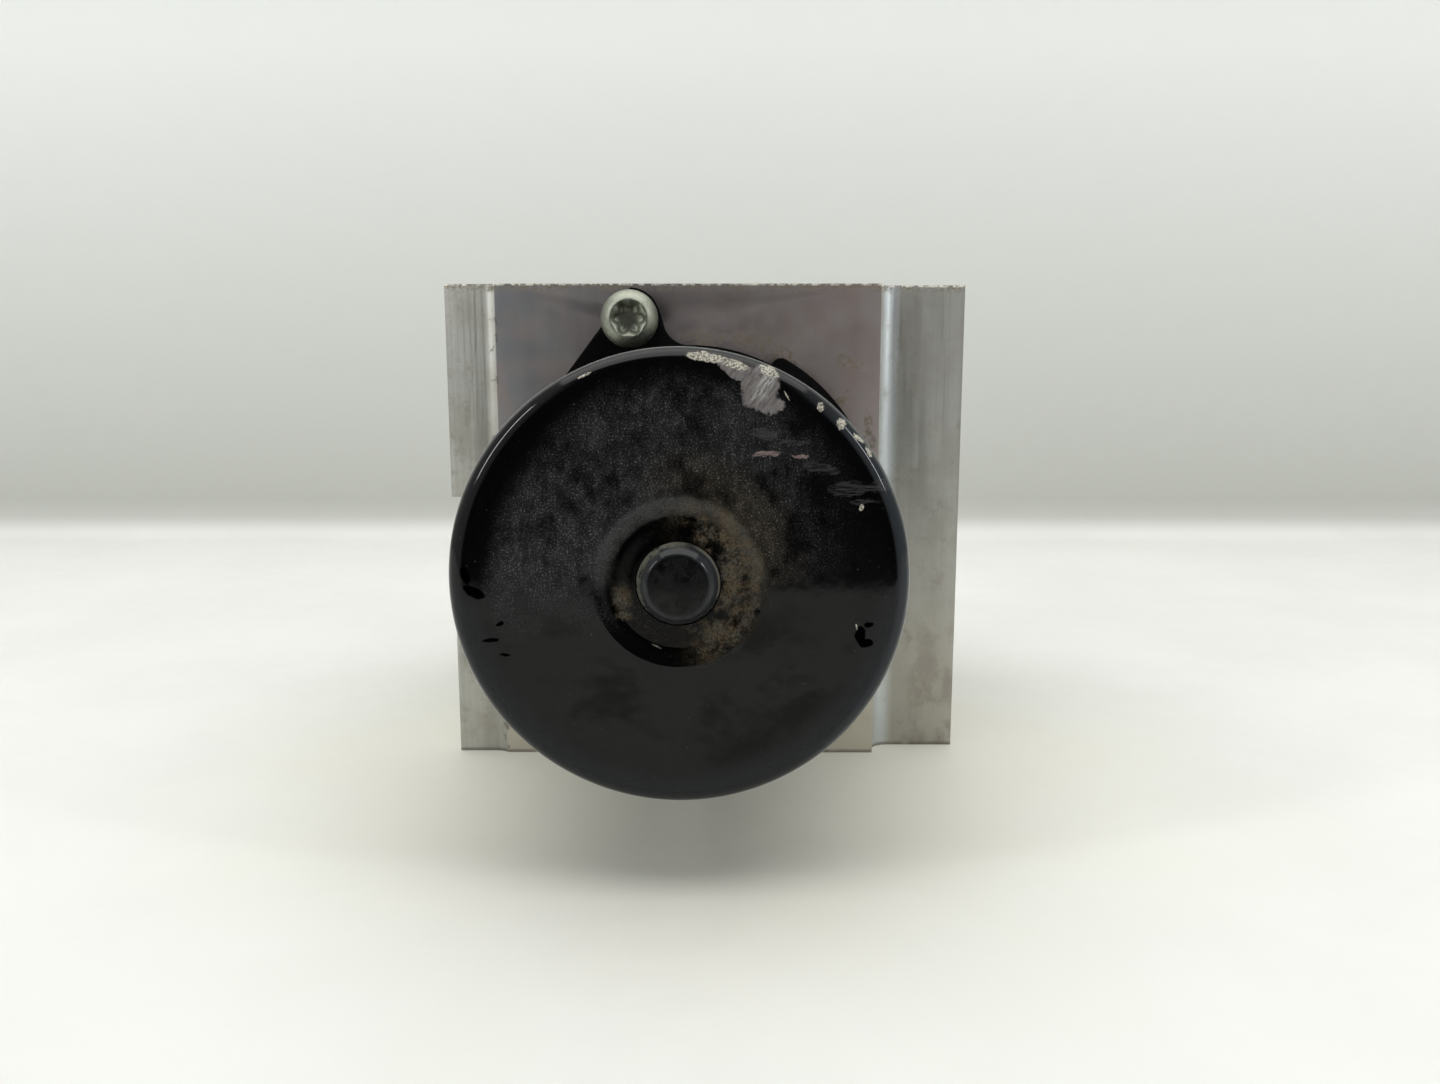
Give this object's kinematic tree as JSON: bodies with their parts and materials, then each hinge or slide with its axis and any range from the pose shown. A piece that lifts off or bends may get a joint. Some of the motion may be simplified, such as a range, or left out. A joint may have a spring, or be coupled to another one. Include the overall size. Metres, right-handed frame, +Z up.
{
  "type": "brake hydraulic modulator",
  "caption": "Anti-lock brake hydraulic modulator: stepped aluminium valve block with a black pump motor in front and an electronics housing behind.",
  "frame": {"origin": "centre of the bounding box, on the base of the valve block", "axes": "+Z up; the pump motor points to -Y and the electrical connector to +Y; +X is to the right when the motor end is looked at"},
  "size_m": [0.12, 0.1764, 0.111],
  "materials": {
    "block_aluminium": "satin, extruded and sawn, lightly stained",
    "black_paint": "gloss, chipped and dusty",
    "zinc_plate": "zinc plated, slightly dull",
    "turned_steel": "turned",
    "spring_steel": "drawn wire",
    "cast_aluminium": "turned",
    "laminated_steel": "stacked laminations",
    "ferrite": "sintered, matt",
    "copper": "enamelled wire and bare copper",
    "bronze": "plain",
    "brown_plastic": "moulded phenolic resin",
    "carbon": "pressed carbon",
    "black_rubber": "moulded",
    "red_rubber": "silicone",
    "housing_plastic": "moulded, fine grain",
    "bobbin_plastic": "moulded",
    "board_laminate": "solder mask over glass laminate",
    "chip_plastic": "moulded packages"
  },
  "bodies": {
    "housing": {"valve_block": "block_aluminium", "gallery_plugs": "turned_steel", "pump_plugs": "turned_steel", "pump_cylinders": "turned_steel", "accumulator_caps": "turned_steel", "inlet_valves": "turned_steel", "outlet_valves": "turned_steel", "motor_can": "black_paint", "motor_flange": "black_paint", "motor_seal": "black_rubber", "motor_screws": "zinc_plate", "magnets": "ferrite", "magnet_clips": "turned_steel", "brush_plate": "brown_plastic", "rear_bush": "bronze", "bearing_outer_ring": "turned_steel", "terminal_pins": "bronze", "terminal_guide": "housing_plastic", "ecu_housing": "housing_plastic", "ecu_cover": "housing_plastic", "connector_collar": "housing_plastic", "ecu_gasket": "red_rubber", "ecu_screws": "zinc_plate", "coil_windings": "copper", "coil_bobbins": "bobbin_plastic", "coil_yokes": "turned_steel", "circuit_board": "board_laminate", "board_components": "chip_plastic", "pin_carrier": "housing_plastic", "connector_pins": "bronze", "pump_spring_left": "spring_steel", "pump_spring_right": "spring_steel", "accumulator_spring_left": "spring_steel", "accumulator_spring_right": "spring_steel", "brush_spring_left": "spring_steel", "brush_spring_right": "spring_steel"},
    "armature": {"shaft": "turned_steel", "armature_core": "laminated_steel", "armature_windings": "copper", "commutator_bars": "copper", "commutator_hub": "brown_plastic", "bearing_inner_ring": "turned_steel"},
    "ball_set": {"bearing_balls": "turned_steel", "bearing_cage": "brown_plastic"},
    "eccentric_drive": {"eccentric_ring": "turned_steel", "eccentric_bush": "bronze"},
    "pump_piston_left": {"pump_piston_left": "turned_steel"},
    "pump_piston_right": {"pump_piston_right": "turned_steel"},
    "accumulator_piston_left": {"accumulator_piston_left": "cast_aluminium"},
    "accumulator_piston_right": {"accumulator_piston_right": "cast_aluminium"},
    "brush_left": {"brush_left": "carbon"},
    "brush_right": {"brush_right": "carbon"},
    "inlet_plunger_1": {"inlet_plunger_1": "turned_steel"},
    "inlet_plunger_2": {"inlet_plunger_2": "turned_steel"},
    "inlet_plunger_3": {"inlet_plunger_3": "turned_steel"},
    "inlet_plunger_4": {"inlet_plunger_4": "turned_steel"},
    "outlet_plunger_1": {"outlet_plunger_1": "turned_steel"},
    "outlet_plunger_2": {"outlet_plunger_2": "turned_steel"},
    "outlet_plunger_3": {"outlet_plunger_3": "turned_steel"},
    "outlet_plunger_4": {"outlet_plunger_4": "turned_steel"}
  },
  "joints": [
    {"name": "armature_spin", "type": "hinge", "parent": "housing", "child": "armature", "pos_m": [-0.0036, -0.00925, 0.0565], "axis": [0, 1, 0], "continuous": true},
    {"name": "ball_set_spin", "type": "hinge", "parent": "housing", "child": "ball_set", "pos_m": [-0.0036, -0.00675, 0.0565], "axis": [0, 1, 0], "continuous": true},
    {"name": "eccentric_ring_spin", "type": "hinge", "parent": "armature", "child": "eccentric_drive", "pos_m": [-0.0036, 0.00575, 0.0575], "axis": [0, 1, 0], "continuous": true},
    {"name": "pump_stroke_left", "type": "slide", "parent": "housing", "child": "pump_piston_left", "axis": [-1, 0, 0], "range_m": [0, 0.002], "stiffness_N_per_m": 1500, "springref_m": -0.004, "deforming": ["pump_spring_left"]},
    {"name": "pump_stroke_right", "type": "slide", "parent": "housing", "child": "pump_piston_right", "axis": [1, 0, 0], "range_m": [0, 0.002], "stiffness_N_per_m": 1500, "springref_m": -0.004, "deforming": ["pump_spring_right"]},
    {"name": "accumulator_travel_left", "type": "slide", "parent": "housing", "child": "accumulator_piston_left", "axis": [0, 0, -1], "range_m": [0, 0.009], "stiffness_N_per_m": 800, "springref_m": -0.006, "deforming": ["accumulator_spring_left"]},
    {"name": "accumulator_travel_right", "type": "slide", "parent": "housing", "child": "accumulator_piston_right", "axis": [0, 0, -1], "range_m": [0, 0.009], "stiffness_N_per_m": 800, "springref_m": -0.006, "deforming": ["accumulator_spring_right"]},
    {"name": "brush_travel_left", "type": "slide", "parent": "housing", "child": "brush_left", "axis": [-1, 0, 0], "range_m": [0, 0.004], "stiffness_N_per_m": 150, "springref_m": -0.006, "deforming": ["brush_spring_left"]},
    {"name": "brush_travel_right", "type": "slide", "parent": "housing", "child": "brush_right", "axis": [1, 0, 0], "range_m": [0, 0.004], "stiffness_N_per_m": 150, "springref_m": -0.006, "deforming": ["brush_spring_right"]},
    {"name": "inlet_valve_1_lift", "type": "slide", "parent": "housing", "child": "inlet_plunger_1", "axis": [0, -1, 0], "range_m": [0, 0.0004], "stiffness_N_per_m": 1500, "springref_m": -0.001},
    {"name": "inlet_valve_2_lift", "type": "slide", "parent": "housing", "child": "inlet_plunger_2", "axis": [0, -1, 0], "range_m": [0, 0.0004], "stiffness_N_per_m": 1500, "springref_m": -0.001},
    {"name": "inlet_valve_3_lift", "type": "slide", "parent": "housing", "child": "inlet_plunger_3", "axis": [0, -1, 0], "range_m": [0, 0.0004], "stiffness_N_per_m": 1500, "springref_m": -0.001},
    {"name": "inlet_valve_4_lift", "type": "slide", "parent": "housing", "child": "inlet_plunger_4", "axis": [0, -1, 0], "range_m": [0, 0.0004], "stiffness_N_per_m": 1500, "springref_m": -0.001},
    {"name": "outlet_valve_1_lift", "type": "slide", "parent": "housing", "child": "outlet_plunger_1", "axis": [0, 1, 0], "range_m": [0, 0.0004], "stiffness_N_per_m": 1500, "springref_m": -0.001},
    {"name": "outlet_valve_2_lift", "type": "slide", "parent": "housing", "child": "outlet_plunger_2", "axis": [0, 1, 0], "range_m": [0, 0.0004], "stiffness_N_per_m": 1500, "springref_m": -0.001},
    {"name": "outlet_valve_3_lift", "type": "slide", "parent": "housing", "child": "outlet_plunger_3", "axis": [0, 1, 0], "range_m": [0, 0.0004], "stiffness_N_per_m": 1500, "springref_m": -0.001},
    {"name": "outlet_valve_4_lift", "type": "slide", "parent": "housing", "child": "outlet_plunger_4", "axis": [0, 1, 0], "range_m": [0, 0.0004], "stiffness_N_per_m": 1500, "springref_m": -0.001}
  ],
  "couplings": [
    {"joint": "ball_set_spin", "follows": "armature_spin", "ratio": 0.3733},
    {"joint": "eccentric_ring_spin", "follows": "armature_spin", "ratio": -1}
  ]
}
